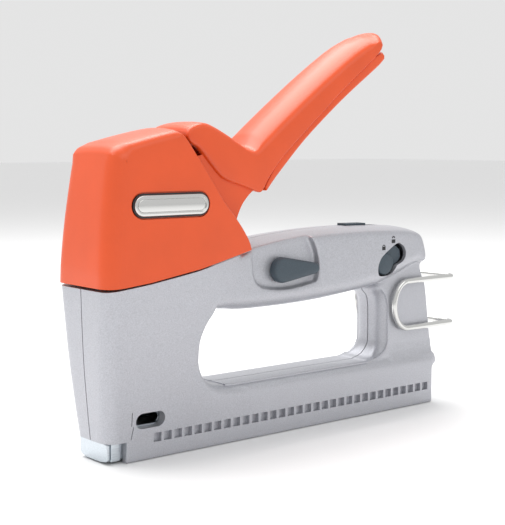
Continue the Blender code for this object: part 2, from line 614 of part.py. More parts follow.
def main():
    for obj in list(bpy.data.objects):
        bpy.data.objects.remove(obj)
    alloy = material("painted_alloy", (0.53, 0.53, 0.57), 0.42, 0.3)
    orange = material("orange_plastic", (0.76, 0.11, 0.03), 0.4)
    dark = material("dark_plastic", (0.06, 0.09, 0.12), 0.45)
    steel = material("zinc_plated_steel", (0.66, 0.70, 0.74), 0.35, 1.0)
    chrome = material("chrome", (0.8, 0.8, 0.8), 0.15, 1.0)
    rubber = material("rubber", (0.02, 0.02, 0.02), 0.8)
    staples = material("galvanised_wire", (0.6, 0.6, 0.6), 0.4, 1.0)

    left_openings(body_shell("body_shell_left", -1, alloy))
    right_openings(body_shell("body_shell_right", 1, alloy))
    head_cover(orange)
    for side, name in ((-1, "badge_left"), (1, "badge_right")):
        slab(name, badge_outline(0.0), side * 16.3, side * 17.5, chrome)
    lever_pieces(orange, steel)
    striker_pieces(steel, rubber)
    nose_and_magazine(steel, staples)
    selector_pieces(dark, steel)
    lock_pieces(dark, dark)
    wire_bail(chrome)
    for i, (x, z, y) in enumerate(BODY_SCREWS):
        screw(f"body_screw_{i + 1}", x, z, -7.2, y, steel)
    for i, (x, z) in enumerate(COVER_SCREWS):
        screw(f"cover_screw_{i + 1}", x, z, 9.0, 16.5, steel)


main()
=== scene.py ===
"""Looks of a hand staple gun, laid out as an add-on: sizes and colours in property groups, one
operator for each piece or group of like pieces, and a panel that lists them.

Lengths are written in millimetres and turned to metres by MM. Along X they are written from the
first magazine window, whose place comes from the frame. +Z is up and the mid plane is Y = 0.
"""

import json
import math

import bmesh
import bpy
from bpy.props import FloatProperty, FloatVectorProperty, IntProperty, PointerProperty
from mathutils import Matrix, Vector

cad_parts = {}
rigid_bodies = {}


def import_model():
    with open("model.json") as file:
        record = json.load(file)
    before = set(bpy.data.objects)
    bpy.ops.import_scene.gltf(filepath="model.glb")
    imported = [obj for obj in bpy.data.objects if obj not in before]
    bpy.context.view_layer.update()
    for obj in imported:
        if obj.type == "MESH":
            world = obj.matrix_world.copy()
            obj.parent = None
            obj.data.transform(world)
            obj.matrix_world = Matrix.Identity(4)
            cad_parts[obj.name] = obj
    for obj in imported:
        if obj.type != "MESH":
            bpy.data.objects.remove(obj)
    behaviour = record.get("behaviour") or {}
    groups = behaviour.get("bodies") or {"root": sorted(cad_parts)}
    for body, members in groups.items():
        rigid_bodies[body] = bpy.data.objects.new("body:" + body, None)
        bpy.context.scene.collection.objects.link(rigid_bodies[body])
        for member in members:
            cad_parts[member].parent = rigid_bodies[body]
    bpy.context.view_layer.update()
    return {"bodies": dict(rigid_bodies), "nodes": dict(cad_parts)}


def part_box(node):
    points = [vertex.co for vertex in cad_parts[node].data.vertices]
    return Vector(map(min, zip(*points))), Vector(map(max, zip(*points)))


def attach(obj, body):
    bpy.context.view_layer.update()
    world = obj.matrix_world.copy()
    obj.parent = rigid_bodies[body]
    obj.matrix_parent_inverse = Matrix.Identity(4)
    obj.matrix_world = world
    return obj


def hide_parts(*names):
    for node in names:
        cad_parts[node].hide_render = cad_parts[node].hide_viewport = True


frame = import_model()

bl_info = {
    "name": "Hand Staple Gun",
    "version": (1, 0, 0),
    "blender": (4, 5, 0),
    "location": "View3D > Sidebar > Staple Gun",
    "description": "Builds the finished pieces of a hand staple gun around its frame",
    "category": "Object",
}

MM = 0.001
NOSE_PLATE_X = -22.0
WINDOW_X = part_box("nose_plate")[0].x / MM - NOSE_PLATE_X
BASE_HALF = 11.3
HEAD_FOOT_Z = 7.7
LEVER_PIVOT = (21.0, 99.0)
KNOB_PIVOT = (55.5, 65.0)
LOCK_LOW = (113.4, 63.4)
BADGE_CENTRE = (1.6, 92.1)
POCKET_FLOOR = 11.4
NEAR, FAR = -1, 1
NOMINAL_HALF = 10.0


# Points and outlines


def metres(x, y, z):
    return Vector((x + WINDOW_X, y, z)) * MM


def arc(centre, radius, start, end, steps=12):
    """Points (x, z) on an arc, with its angles in degrees."""
    turn = [math.radians(start + (end - start) * i / steps) for i in range(steps + 1)]
    return [(centre[0] + radius * math.cos(a), centre[1] + radius * math.sin(a)) for a in turn]


def ellipse(centre, wide, tall, start, end, steps=12):
    turn = [math.radians(start + (end - start) * i / steps) for i in range(steps + 1)]
    return [(centre[0] + wide * math.cos(a), centre[1] + tall * math.sin(a)) for a in turn]


def capsule(low, high, radius, steps=12):
    """An outline with round ends, from one centre to another."""
    tilt = math.degrees(math.atan2(high[1] - low[1], high[0] - low[0]))
    return (arc(high, radius, tilt - 90, tilt + 90, steps)
            + arc(low, radius, tilt + 90, tilt + 270, steps))


def stadium(centre, half_length, radius):
    reach = half_length - radius
    return capsule((centre[0] - reach, centre[1]), (centre[0] + reach, centre[1]), radius)


def curve_through(points, steps=6):
    """A Catmull-Rom curve through the points."""
    points = [Vector(p) for p in points]
    ends = [2 * points[0] - points[1]] + points + [2 * points[-1] - points[-2]]
    out = []
    for a, b, c, d in zip(ends, ends[1:], ends[2:], ends[3:]):
        for i in range(steps):
            t = i / steps
            out.append(0.5 * (2 * b + (c - a) * t + (2 * a - 5 * b + 4 * c - d) * t * t
                              + (3 * b - a - 3 * c + d) * t ** 3))
    return [tuple(p) for p in out + [points[-1]]]


def run(points, radius=None, crown=0.0, steps=6):
    """A smooth stretch of a rim: points (x, z), with one rounding or each with its own, and with
    their share of the crown."""
    points = [tuple(p) + (radius,) if radius is not None else tuple(p) for p in points]
    points = [p + (crown,) if len(p) == 3 else p for p in points]
    return curve_through(points, steps)


def smoothstep(value, low, high):
    share = min(1.0, max(0.0, (value - low) / (high - low)))
    return share * share * (3 - 2 * share)


# Meshes


def finish_mesh(name, bm, material, smooth_angle=40):
    """A finished piece: its object sits at the origin, and its place is in its mesh."""
    bmesh.ops.remove_doubles(bm, verts=bm.verts, dist=1e-7)
    bmesh.ops.recalc_face_normals(bm, faces=bm.faces)
    mesh = bpy.data.meshes.new(name)
    bm.to_mesh(mesh)
    bm.free()
    obj = bpy.data.objects.new(name, mesh)
    bpy.context.scene.collection.objects.link(obj)
    mesh.materials.append(material)
    shade(obj, smooth_angle)
    return obj


def shade(obj, smooth_angle=40):
    obj.data.shade_smooth()
    obj.data.set_sharp_from_angle(angle=math.radians(smooth_angle))
    return obj


def loft(bm, rings):
    """Bridges rings of points, given in millimetres, and caps both ends."""
    loops = []
    for ring in rings:
        corners = [bm.verts.new(metres(*point)) for point in ring]
        edges = [bm.edges.new((a, b)) for a, b in zip(corners, corners[1:] + corners[:1])]
        loops.append((corners, edges))
    for (_, near), (_, far) in zip(loops, loops[1:]):
        bmesh.ops.bridge_loops(bm, edges=near + far)
    for corners, _ in (loops[0], loops[-1]):
        bm.faces.new(corners)


def rim_normals(rim):
    """Unit normals that point into the outline."""
    count = len(rim)
    area = sum(rim[i - 1][0] * rim[i][1] - rim[i][0] * rim[i - 1][1] for i in range(count))
    turn = 1.0 if area > 0 else -1.0
    normals = []
    for i in range(count):
        along = Vector(rim[(i + 1) % count][:2]) - Vector(rim[i - 1][:2])
        normals.append(Vector((-along.y, along.x)).normalized() * turn)
    return normals


def pillow(bm, rim, half, crown=0.0, shape=2.5, steps=6, across=8, skin=0.0, grid=0.0):
    """A solid between two flat sides, with a rounded rim and a crown. rim holds
    (x, z, rounding, share of the crown), half(x, z) is the half width, skin moves the whole
    surface inwards, and grid divides the flat sides so that they follow a curved half width."""
    normals = rim_normals(rim)
    rounds = [math.radians(90 * k / steps) for k in range(steps + 1)]
    levels = [(NEAR, a) for a in rounds] + [(0, 1 - 2 * k / across) for k in range(1, across)]
    levels += [(FAR, a) for a in rounds[::-1]]
    rings = []
    for side, value in levels:
        ring = []
        for (x, z, radius, share), normal in zip(rim, normals):
            width = half(x, z) - skin
            radius = max(radius - skin, 0.05)
            if side:
                y = side * (width - radius * (1 - math.cos(value)))
                inset = radius * (1 - math.sin(value))
            else:
                y, inset = -value * (width - radius), 0.0
            rise = crown * share * (1 - abs(y / width) ** shape)
            ring.append((x + normal.x * (inset + skin), y / width * NOMINAL_HALF,
                         z + normal.y * (inset + skin) + rise))
        rings.append(ring)
    part = bmesh.new()
    loft(part, rings)
    if grid:
        for axis, low, high in ((0, -40, 170), (2, -10, 140)):
            for i in range(int((high - low) / grid)):
                at = metres(low + i * grid, 0, low + i * grid)
                normal = [0, 0, 0]
                normal[axis] = 1
                bmesh.ops.bisect_plane(part, geom=part.verts[:] + part.edges[:] + part.faces[:],
                                       plane_co=at, plane_no=normal, dist=1e-7)
    for corner in part.verts:
        x, z = corner.co.x / MM - WINDOW_X, corner.co.z / MM
        corner.co.y *= (half(x, z) - skin) / NOMINAL_HALF
    take_in(bm, part)


def take_in(bm, part):
    """Adds one bmesh to another."""
    mesh = bpy.data.meshes.new("part")
    part.to_mesh(mesh)
    part.free()
    bm.from_mesh(mesh)
    bpy.data.meshes.remove(mesh)


def prism(bm, outline, y_low, y_high):
    """An outline (x, z), extruded along Y."""
    face = bm.faces.new([bm.verts.new(metres(x, y_low, z)) for x, z in outline])
    grown = bmesh.ops.extrude_face_region(bm, geom=[face])["geom"]
    corners = [item for item in grown if isinstance(item, bmesh.types.BMVert)]
    bmesh.ops.translate(bm, verts=corners, vec=Vector((0, y_high - y_low, 0)) * MM)
    return corners


def prism_x(bm, outline, x_low, x_high):
    """An outline (y, z), extruded along X."""
    face = bm.faces.new([bm.verts.new(metres(x_low, y, z)) for y, z in outline])
    grown = bmesh.ops.extrude_face_region(bm, geom=[face])["geom"]
    corners = [item for item in grown if isinstance(item, bmesh.types.BMVert)]
    bmesh.ops.translate(bm, verts=corners, vec=Vector((x_high - x_low, 0, 0)) * MM)


def block(bm, x, y, z):
    prism(bm, [(x[0], z[0]), (x[1], z[0]), (x[1], z[1]), (x[0], z[1])], y[0], y[1])


def span(side, near, far):
    """Limits along Y on one side of the mid plane."""
    return tuple(sorted((side * near, side * far)))


def soften(bm, width, segments=3, angle=30):
    """Bevels every edge sharper than the angle."""
    sharp = [e for e in bm.edges if e.is_manifold and e.calc_face_angle(0) > math.radians(angle)]
    bmesh.ops.bevel(bm, geom=sharp, offset=width * MM, offset_type="OFFSET", segments=segments,
                    profile=0.5, affect="EDGES", clamp_overlap=True, material=-1)


def shape(build, *args, **kwargs):
    """A bmesh that one or more calls fill."""
    bm = bmesh.new()
    build(bm, *args, **kwargs)
    return bm


def apply_modifiers(obj):
    graph = bpy.context.evaluated_depsgraph_get()
    mesh = bpy.data.meshes.new_from_object(obj.evaluated_get(graph))
    old = obj.data
    obj.modifiers.clear()
    obj.data = mesh
    bpy.data.meshes.remove(old)
    return obj


def carve(obj, builders, operation="DIFFERENCE"):
    """Cuts shapes from a piece, or joins them to it, one after another."""
    tools = []
    for build in builders:
        bm = bmesh.new()
        build(bm)
        bmesh.ops.triangulate(bm, faces=bm.faces[:], ngon_method="EAR_CLIP")
        tool = finish_mesh("tool", bm, obj.data.materials[0])
        step = obj.modifiers.new("Boolean", "BOOLEAN")
        step.operation = operation
        step.solver = "MANIFOLD"
        step.object = tool
        tools.append(tool)
    apply_modifiers(obj)
    for tool in tools:
        bpy.data.objects.remove(tool)
    return shade(obj)


def fuse(obj, voxel, rounds):
    """Joins overlapping solids into one skin and softens where they meet, as a casting is."""
    remesh = obj.modifiers.new("Remesh", "REMESH")
    remesh.mode = "VOXEL"
    remesh.voxel_size = voxel * MM
    smooth = obj.modifiers.new("Smooth", "SMOOTH")
    smooth.factor = 0.5
    smooth.iterations = rounds
    return apply_modifiers(obj)


def tube(name, points, radius, material, cyclic=False, sides=4):
    """A round wire as a mesh, along points (x, y, z)."""
    curve = bpy.data.curves.new(name, "CURVE")
    curve.dimensions = "3D"
    curve.bevel_depth = radius * MM
    curve.bevel_resolution = sides
    curve.use_fill_caps = True
    spline = curve.splines.new("POLY")
    spline.points.add(len(points) - 1)
    spline.use_cyclic_u = cyclic
    for target, point in zip(spline.points, points):
        target.co = (*metres(*point), 1.0)
    holder = bpy.data.objects.new(name + "_path", curve)
    bpy.context.scene.collection.objects.link(holder)
    graph = bpy.context.evaluated_depsgraph_get()
    mesh = bpy.data.meshes.new_from_object(holder.evaluated_get(graph))
    bpy.data.objects.remove(holder)
    mesh.name = name
    mesh.materials.clear()
    mesh.materials.append(material)
    obj = bpy.data.objects.new(name, mesh)
    bpy.context.scene.collection.objects.link(obj)
    return shade(obj)


def stand_for(obj, body, slot, *nodes):
    """The piece rides on a body and stands for CAD nodes. The slot is not used."""
    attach(obj, body)
    if nodes:
        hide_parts(*nodes)
    return obj


# Materials


def linear(colour):
    """An sRGB hex value as linear RGBA."""
    levels = [int(colour[i:i + 2], 16) / 255 for i in (0, 2, 4)]
    return tuple(c / 12.92 if c <= 0.04045 else ((c + 0.055) / 1.055) ** 2.4
                 for c in levels) + (1.0,)


def add_node(tree, kind, settings=None, inputs=None, links=None):
    """Adds a node, with its settings, its unlinked inputs and its links from other sockets."""
    node = tree.nodes.new(kind)
    for name, value in (settings or {}).items():
        setattr(node, name, value)
    for name, value in (inputs or {}).items():
        node.inputs[name].default_value = value
    for name, socket in (links or {}).items():
        tree.links.new(socket, node.inputs[name])
    return node


def new_material(name, colour, roughness, metallic=0.0, **more):
    made = bpy.data.materials.new(name)
    made.use_nodes = True
    shader = made.node_tree.nodes["Principled BSDF"]
    shader.inputs["Base Color"].default_value = colour
    shader.inputs["Roughness"].default_value = roughness
    shader.inputs["Metallic"].default_value = metallic
    for key, value in more.items():
        shader.inputs[key.replace("_", " ").title()].default_value = value
    return made, made.node_tree, shader


def grain(tree, shader, size, strength, depth, stretch=(1, 1, 1), detail=3.0):
    """A fine relief whose features are size millimetres across. Returns its height socket."""
    place = add_node(tree, "ShaderNodeTexCoord")
    turned = add_node(tree, "ShaderNodeMapping", links={"Vector": place.outputs["Object"]})
    turned.inputs["Scale"].default_value = stretch
    noise = add_node(tree, "ShaderNodeTexNoise",
                     inputs={"Scale": 1 / (size * MM), "Detail": detail, "Roughness": 0.55},
                     links={"Vector": turned.outputs["Vector"]})
    bump = add_node(tree, "ShaderNodeBump", inputs={"Strength": strength, "Distance": depth * MM},
                    links={"Height": noise.outputs["Fac"]})
    tree.links.new(bump.outputs["Normal"], shader.inputs["Normal"])
    return noise.outputs["Fac"], turned.outputs["Vector"]


def patches(tree, vector, size):
    """A soft pattern of patches, size millimetres across, from 0 to 1."""
    return add_node(tree, "ShaderNodeTexNoise", inputs={"Scale": 1 / (size * MM), "Detail": 4.0},
                    links={"Vector": vector}).outputs["Fac"]


def tint(tree, pattern, shader, colour, darker, lighter):
    """Lets a pattern move the base colour between two shades, each given as a share of it."""
    ramp = add_node(tree, "ShaderNodeValToRGB", links={"Fac": pattern})
    for stop, position, share in zip(ramp.color_ramp.elements, (0.3, 0.7), (darker, lighter)):
        stop.position = position
        stop.color = [min(1.0, share * c) for c in colour[:3]] + [1.0]
    tree.links.new(ramp.outputs["Color"], shader.inputs["Base Color"])


def gloss(tree, pattern, shader, low, high):
    """Lets a pattern move the roughness between two values."""
    spread = add_node(tree, "ShaderNodeMapRange", inputs={"To Min": low, "To Max": high},
                      links={"Value": pattern})
    tree.links.new(spread.outputs["Result"], shader.inputs["Roughness"])


def silver_powder_paint(colour):
    """Silver-grey powder paint on a die casting: fine grain with metal flake, so it glances bright
    where it faces a light and turns cool grey where it doesn't."""
    made, tree, shader = new_material("silver_powder_paint", colour, 0.4, 0.5,
                                      coat_weight=0.15, coat_roughness=0.3)
    height, vector = grain(tree, shader, 0.45, 0.3, 0.06)
    tint(tree, height, shader, colour, 0.88, 1.12)
    gloss(tree, patches(tree, vector, 6.0), shader, 0.34, 0.46)
    return made


def orange_abs(colour):
    """Moulded ABS: a clean satin gloss, with the faintest waviness from the mould."""
    made, tree, shader = new_material("orange_abs", colour, 0.36, coat_weight=0.1,
                                      coat_roughness=0.2)
    height, vector = grain(tree, shader, 0.5, 0.06, 0.03)
    tint(tree, patches(tree, vector, 14.0), shader, colour, 0.96, 1.03)
    gloss(tree, height, shader, 0.32, 0.4)
    return made


def blue_grey_nylon(colour):
    """Glass-filled nylon: a dull spark-eroded grain that breaks up the light."""
    made, tree, shader = new_material("blue_grey_nylon", colour, 0.5)
    height, vector = grain(tree, shader, 0.3, 0.3, 0.05)
    tint(tree, height, shader, colour, 0.85, 1.2)
    gloss(tree, patches(tree, vector, 4.0), shader, 0.42, 0.58)
    return made


def zinc_plated_steel(colour):
    """Bright zinc on pressed steel: a cool white metal with fine rolling marks along X."""
    made, tree, shader = new_material("zinc_plated_steel", colour, 0.3, 1.0)
    height, vector = grain(tree, shader, 0.3, 0.12, 0.02, stretch=(0.08, 1, 1))
    tint(tree, height, shader, colour, 0.88, 1.06)
    gloss(tree, patches(tree, vector, 3.0), shader, 0.24, 0.38)
    return made


def spring_steel(colour):
    """Drawn spring wire: darker than plate, with draw marks and a thin film of oil."""
    made, tree, shader = new_material("spring_steel", colour, 0.32, 1.0, coat_weight=0.2)
    _, vector = grain(tree, shader, 0.2, 0.1, 0.02)
    gloss(tree, patches(tree, vector, 2.0), shader, 0.26, 0.4)
    return made


def chrome_plate(colour):
    """Chromium plating: a near mirror, with hairline polishing marks."""
    made, tree, shader = new_material("chrome_plate", colour, 0.12, 1.0)
    _, vector = grain(tree, shader, 0.6, 0.03, 0.01)
    gloss(tree, patches(tree, vector, 5.0), shader, 0.08, 0.18)
    return made


def black_enamel(colour):
    """Baked enamel in the badges' grooves and the printed marks: near black, half gloss."""
    made, tree, shader = new_material("black_enamel", colour, 0.45)
    height, _ = grain(tree, shader, 0.2, 0.1, 0.02)
    gloss(tree, height, shader, 0.4, 0.52)
    return made


def buffer_rubber(colour):
    """Moulded nitrile rubber: dull black with a dusty bloom."""
    made, tree, shader = new_material("buffer_rubber", colour, 0.8)
    height, _ = grain(tree, shader, 0.4, 0.2, 0.05)
    tint(tree, height, shader, colour, 0.8, 1.5)
    return made


def studio_paper(colour):
    """Matt white background paper, with the faint tooth of its surface."""
    made, tree, shader = new_material("studio_paper", colour, 0.9)
    grain(tree, shader, 1.5, 0.03, 0.05)
    return made


class StapleGunSizes(bpy.types.PropertyGroup):
    """Sizes that a user would change, in millimetres."""

    seam: FloatProperty(name="Seam", description="Half the gap between the body halves, in mm",
                        default=0.22, min=0.15, max=0.5)
    skin_voxel: FloatProperty(name="Casting detail", description="Mesh size of the casting, in mm",
                              default=0.55, min=0.4, max=1.5)
    skin_rounds: IntProperty(name="Casting softness", description="Smoothing passes on the casting",
                             default=7, min=0, max=40)
    cover_wall: FloatProperty(name="Cover wall", description="Wall of the head cover, in mm",
                              default=2.3, min=1.5, max=3.0)
    cover_low: FloatProperty(name="Cover half width, low", description="At the cover's foot, in mm",
                             default=18.0)
    cover_high: FloatProperty(name="Cover half width, high",
                              description="At the cover's top, in mm", default=15.6)
    lever_half: FloatProperty(name="Lever half width", description="Half the lever's width, in mm",
                              default=12.3)
    lever_crown: FloatProperty(name="Lever crown", description="Rise of the lever's back, in mm",
                               default=4.2)
    grip_half: FloatProperty(name="Grip half width", description="Half the grip's width, in mm",
                             default=14.2)
    column_half: FloatProperty(name="Column half width", description="Half the column, in mm",
                               default=9.5)
    window_count: IntProperty(name="Windows", description="Blind windows on each side", default=32)
    window_pitch: FloatProperty(name="Window pitch", description="Along the magazine, in mm",
                                default=4.6)
    wire_radius: FloatProperty(name="Wire radius", description="Of the hanging hook, in mm",
                               default=1.25)


def hue(name, text, default):
    return FloatVectorProperty(name=name, description=text, subtype="COLOR", size=4, min=0.0,
                               max=1.0, default=linear(default))


class StapleGunColours(bpy.types.PropertyGroup):
    """Colours of the finishes. Their defaults are sRGB hex values."""

    casting: hue("Casting", "Silver-grey paint of the body", "b6b7bd")
    moulding: hue("Moulding", "Orange of the cover and the lever", "e0531f")
    controls: hue("Controls", "Blue-grey of the knob and the button", "3f4b54")
    plating: hue("Plating", "Bright zinc of the nose", "cfd6dc")
    spring: hue("Spring", "Oiled spring wire and pins", "9e9e9e")
    chrome: hue("Chrome", "Badge and hanging wire", "d6d6d4")


def sizes():
    return bpy.context.scene.staple_gun_sizes


def colours():
    return bpy.context.scene.staple_gun_colours


def finish_of(name):
    """The material of that name, made on first use."""
    if name not in bpy.data.materials:
        chosen = colours()
        makers = {
            "silver_powder_paint": (silver_powder_paint, chosen.casting),
            "orange_abs": (orange_abs, chosen.moulding),
            "blue_grey_nylon": (blue_grey_nylon, chosen.controls),
            "zinc_plated_steel": (zinc_plated_steel, chosen.plating),
            "spring_steel": (spring_steel, chosen.spring),
            "chrome_plate": (chrome_plate, chosen.chrome),
            "black_enamel": (black_enamel, linear("1d1d20")),
            "buffer_rubber": (buffer_rubber, linear("1a1a1a")),
            "studio_paper": (studio_paper, linear("f6f6f6")),
        }
        make, colour = makers[name]
        make(colour)
    return bpy.data.materials[name]


# The casting


def head_half(x, z):
    """Half the body's width: wide under the cover, and narrower towards the grip and the base."""
    head = BASE_HALF + 0.109 * max(0.0, z - HEAD_FOOT_Z)
    behind = BASE_HALF + (sizes().grip_half - BASE_HALF) * smoothstep(z, 22.0, 50.0)
    return head + (behind - head) * smoothstep(x, 2.0, 50.0)


def grip_half(x, z):
    return head_half(x, z) - 1.6 * smoothstep(x, 112.0, 142.0)


def head_solid(bm):
    front = [(-22.9, 2.0), (-23.1, HEAD_FOOT_Z), (-24.0, 17.4), (-25.3, 34.6), (-25.9, 50.0),
             (-26.2, 64.0), (-26.3, 82.0)]
    opening = [(24.0, 55.0, 1.6), (21.6, 51.0, 1.1), (18.6, 47.6, 0.8), (16.2, 42.5, 0.8),
               (15.6, 37.5, 0.8), (16.0, 32.6, 1.0), (17.8, 28.6, 1.6), (20.8, 25.4, 2.6),
               (25.0, 23.4, 3.4), (30.0, 22.4, 3.8), (36.0, 21.9, 3.8), (44.0, 21.0, 3.8)]
    rim = run(front, 5.5) + [(34.0, 82.0, 0.3, 0.0), (34.0, 69.0, 0.3, 0.0), (40.4, 69.0, 0.3, 0.0),
                             (40.4, 56.5, 0.3, 0.0)] + run(opening)
    rim += [(44.0, 12.0, 0.3, 0.0), (30.0, 3.0, 0.3, 0.0), (0.0, 2.0, 0.3, 0.0)]
    pillow(bm, rim, head_half, grid=4.0)


def grip_solid(bm):
    back = [(30.0, 70.0), (38.0, 72.4), (46.0, 74.0), (54.0, 75.2), (65.0, 76.3), (77.0, 77.1),
            (92.0, 77.6), (105.0, 77.6), (118.0, 77.2), (128.0, 76.5)]
    end = [(133.5, 75.5, 1.6, 1.0), (136.6, 74.3, 2.2, 0.7), (138.4, 72.2, 2.6, 0.0),
           (140.2, 68.0, 3.0, 0.0), (140.6, 65.6, 3.0, 0.0), (139.6, 62.6, 3.0, 0.0)]
    under = [(134.0, 62.6, 4.0), (126.0, 59.8, 5.0), (118.0, 57.2, 5.4), (109.0, 54.6, 5.6),
             (97.5, 53.2, 5.6), (87.5, 52.2, 5.6), (76.5, 51.3, 5.6), (62.0, 50.7, 5.6),
             (45.0, 50.6, 5.4), (35.3, 51.0, 5.0), (29.4, 51.8, 4.2), (25.0, 52.4, 3.0),
             (21.0, 53.4, 1.6), (18.0, 56.0, 1.0)]
    rim = run(back, 1.2, 1.0) + run(end) + run(under) + [(20.0, 68.0, 0.3, 0.0)]
    pillow(bm, rim, grip_half, crown=2.0, shape=2.2, steps=8, across=14, grid=5.0)


def column_solid(bm):
    half = sizes().column_half
    rear = [(145.9, 14.0), (149.6, 18.2), (147.4, 24.0), (145.2, 37.0), (142.9, 52.0),
            (140.8, 56.6), (139.4, 60.4), (139.6, 63.0)]
    front = [(128.0, 66.0, 3.0), (116.0, 58.0, 3.0), (112.6, 52.4, 4.0), (115.2, 49.2, 5.5),
             (116.3, 45.4, 6.2), (116.6, 38.0, 6.4), (116.6, 31.4, 6.4), (116.2, 28.2, 6.0),
             (114.4, 25.5, 4.6), (111.4, 23.4, 3.0), (106.4, 21.6, 2.0), (104.0, 15.0, 2.0)]
    pillow(bm, run(rear, 1.4) + run(front), lambda x, z: half, steps=8)


def magazine_solid(bm):
    """The magazine, from its flat base up to the rounded shoulder of the ledge, and the flare
    where the rear column stands on it."""
    shoulder = [(11.3, 18.4), (11.15, 19.6), (10.7, 20.7), (10.0, 21.5), (9.2, 21.9)]
    section = [(-11.3, 0.0), (11.3, 0.0)] + shoulder + [(-y, z) for y, z in shoulder[::-1]]
    prism_x(bm, section, -15.0, 145.9)
    flare = [(11.2, 18.0), (10.9, 20.0), (10.3, 22.0), (9.8, 24.4), (9.5, 28.0)]
    prism_x(bm, flare + [(-y, z) for y, z in flare[::-1]], 121.0, 146.4)
    bump = [(140.0, 15.2), (146.0, 15.6), (148.4, 17.2), (148.9, 18.6), (147.6, 21.8),
            (140.0, 21.8)]
    prism(bm, bump, -10.8, 10.8)


def ledge_plate(bm):
    """The flat, sharp-edged pad along the magazine's top, between the fingers' opening ends."""
    outline = [(31.0, 20.0), (31.0, 22.6), (33.2, 22.35), (36.0, 22.25), (108.0, 22.25),
               (110.6, 22.9), (112.0, 23.4), (112.0, 20.0)]
    prism(bm, outline, -9.5, 9.5)
    soften(bm, 0.18, 2)


def selector_pocket(bm):
    """The knob's pocket: an arc about the knob's shaft at the rear, open at the grip's back. Its
    floor slopes in towards the rear."""
    outline = [(68.6, 84.0), (41.6, 84.0)]
    outline += curve_through([(40.6, 70.0), (40.9, 65.0), (42.8, 60.8), (47.0, 58.6), (57.0, 57.4),
                              (66.0, 58.0)], 4)
    outline += arc(KNOB_PIVOT, 19.6, -17, 40, 10)
    for corner in prism(bm, outline, -40.0, -POCKET_FLOOR):
        corner.co.y += 0.04 * (corner.co.x - metres(70.0, 0, 0).x)


def lock_slot_outline():
    """A bean: the button's lobe at the lower front, and the way it slides up to the rear."""
    points = [(120.9, 72.2), (124.0, 70.5), (125.5, 67.7), (124.7, 65.1), (122.6, 63.6),
              (119.9, 62.6), (118.9, 60.9), (117.4, 59.2), (114.9, 58.5), (110.0, 58.6),
              (108.4, 59.9), (108.4, 63.1), (109.9, 66.0), (112.0, 67.8),
              (115.4, 69.9), (118.4, 71.5)]
    return curve_through(points + points[:1], 4)[:-1]


def casting_cutters(side):
    """Everything that is cut from one half after its skin is made."""
    inner = span(side, -1.0, 8.4)
    gap = span(side, -1.0, 6.2)
    room = [(2.0, 58.0), (30.0, 57.0), (60.0, 54.8), (90.0, 56.7), (108.0, 58.4), (136.0, 63.4),
            (136.0, 71.0), (100.0, 74.0), (60.0, 72.0), (36.0, 69.2), (2.0, 64.0)]
    under_cover = [(-60.0, 63.0), (-25.0, 62.6), (-19.2, 63.2), (-8.3, 64.4), (13.6, 67.8),
                   (34.0, 72.2), (39.6, 73.3), (39.6, 100.0), (-60.0, 100.0)]
    cutters = [
        lambda bm: block(bm, (-200, 300), span(side, -60.0, sizes().seam), (-50, 300)),
        lambda bm: prism(bm, under_cover, -60.0, 60.0),
        lambda bm: block(bm, (-60.0, -15.0), (-60.0, 60.0), (-10.0, HEAD_FOOT_Z)),
        lambda bm: block(bm, (-60.0, 60.0), (-60.0, 60.0), (-10.0, 0.0)),
        lambda bm: block(bm, (-21.6, -17.9), inner, (0.5, 36.0)),
        lambda bm: block(bm, (-21.6, 5.0), inner, (35.0, 68.0)),
        lambda bm: block(bm, (-17.9, 1.6), inner, (59.0, 70.0)),
        lambda bm: block(bm, (-16.0, 10.0), gap, (58.0, 80.0)),
        lambda bm: prism(bm, room, side * -1.0, side * 9.0),
        lambda bm: block(bm, (118.4, 137.0), span(side, -1.0, 6.9), (12.0, 63.5)),
        lambda bm: block(bm, (-21.6, 170.0), inner, (-1.0, 17.8)),
        lambda bm: prism(bm, stadium((-5.1, 14.6), 6.35, 2.9), side * 6.0, side * 30.0),
        lambda bm: block(bm, (99.6, 119.0), span(side, -1.0, 2.8), (66.0, 90.0)),
        lambda bm: windows(bm, side),
        lambda bm: block(bm, (-13.35, -13.05), span(side, BASE_HALF - 0.3, 30.0), (13.2, 18.4)),
        lambda bm: prism(bm, [(-12.5, 13.0), (-12.2, 13.0), (-13.1, 8.3), (-13.4, 8.3)],
                         *span(side, BASE_HALF - 0.3, 30.0)),
    ]
    return cutters + (near_cutters() if side == NEAR else far_cutters())


def windows(bm, side):
    """The row of blind windows."""
    pitch = sizes().window_pitch
    for i in range(sizes().window_count):
        right = i * pitch
        block(bm, (right - 3.4, right), span(side, BASE_HALF - 1.7, 30.0), (6.0, 9.4))


def near_cutters():
    catch_room = [(108.2, 58.4), (117.6, 58.6), (131.4, 66.0), (131.4, 74.4), (127.0, 75.0),
                  (118.0, 71.8), (108.2, 66.6)]
    return [
        lambda bm: prism(bm, arc(KNOB_PIVOT, 2.8, 0, 345, 23), -20.0, 0.0),
        lambda bm: prism(bm, lock_slot_outline(), -30.0, -5.0),
        lambda bm: prism(bm, catch_room, -11.9, -5.0),
    ]


BODY_SCREWS = [(-8.0, 26.0, 12.2), (10.0, 46.0, 14.0), (90.0, 65.0, 12.6), (124.0, 23.0, 8.6)]
COVER_SCREWS = [(-12.0, 74.0), (24.0, 82.0)]


def far_cutters():
    """The counterbored holes of the body screws."""
    cutters = []
    for x, z, top in BODY_SCREWS:
        cutters.append(lambda bm, x=x, z=z: prism(bm, arc((x, z), 1.8, 0, 345, 23), -1.0, 40.0))
        cutters.append(lambda bm, x=x, z=z, top=top: prism(bm, arc((x, z), 3.1, 0, 348, 29),
                                                           top - 2.3, 40.0))
    return cutters


